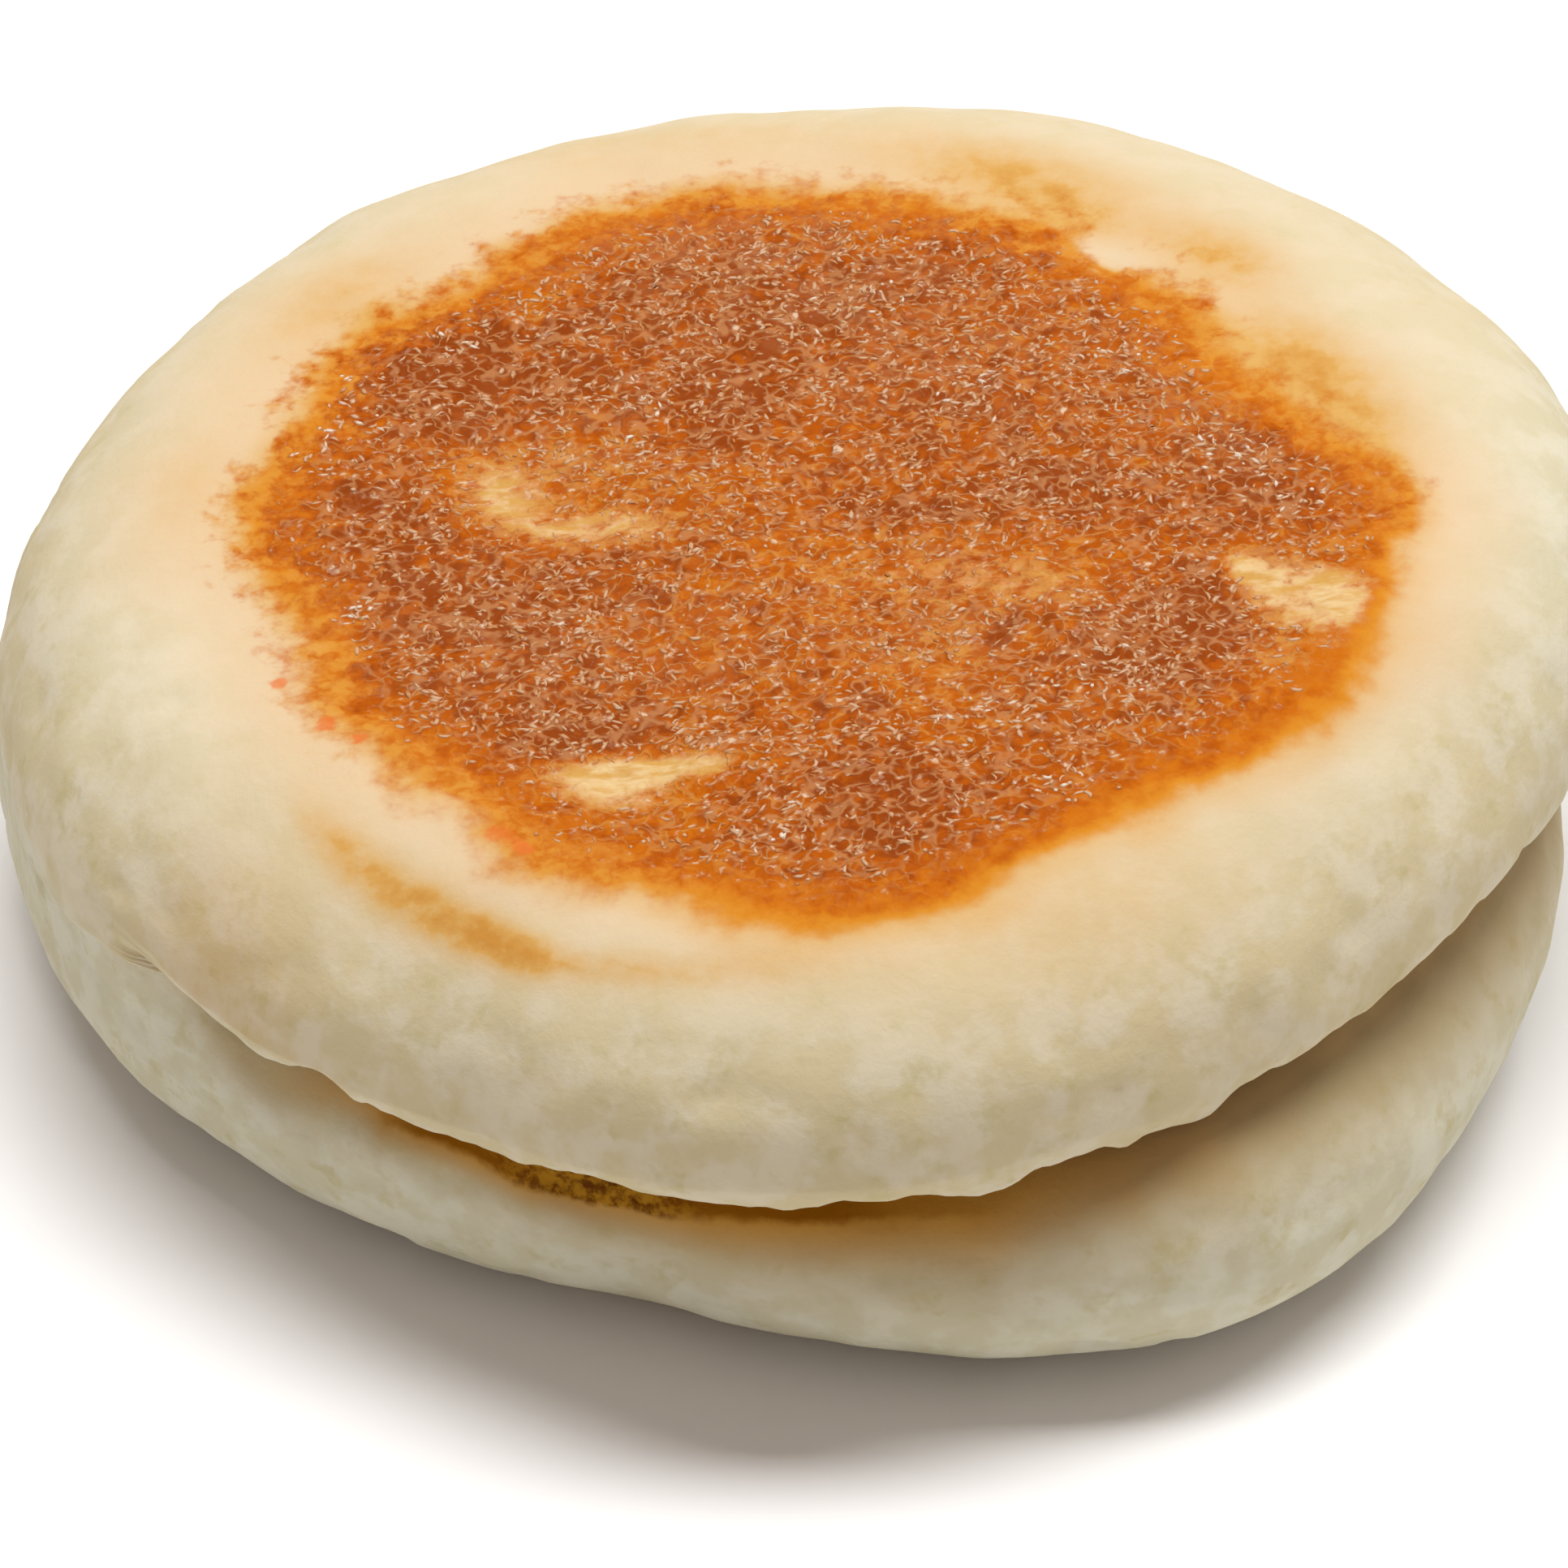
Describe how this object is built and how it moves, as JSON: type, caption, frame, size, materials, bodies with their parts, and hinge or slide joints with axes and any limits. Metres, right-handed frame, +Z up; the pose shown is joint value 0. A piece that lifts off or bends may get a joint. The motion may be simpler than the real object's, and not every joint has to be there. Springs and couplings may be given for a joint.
{
  "type": "split english muffin",
  "caption": "Round griddled bread split along its side and still joined at the back, with browned flat faces and pale soft sides, ready to pull apart and toast.",
  "frame": {"origin": "on the surface the muffin lies on, under the middle of its outline", "axes": "+Z up through the browned upper face; -Y towards the viewer of the picture, +X to their right"},
  "size_m": [0.096, 0.0956, 0.0332],
  "materials": {
    "baked_skin": "pale floury bread skin, browned on the flat faces"
  },
  "bodies": {
    "root": {"muffin": "baked_skin"}
  },
  "joints": []
}
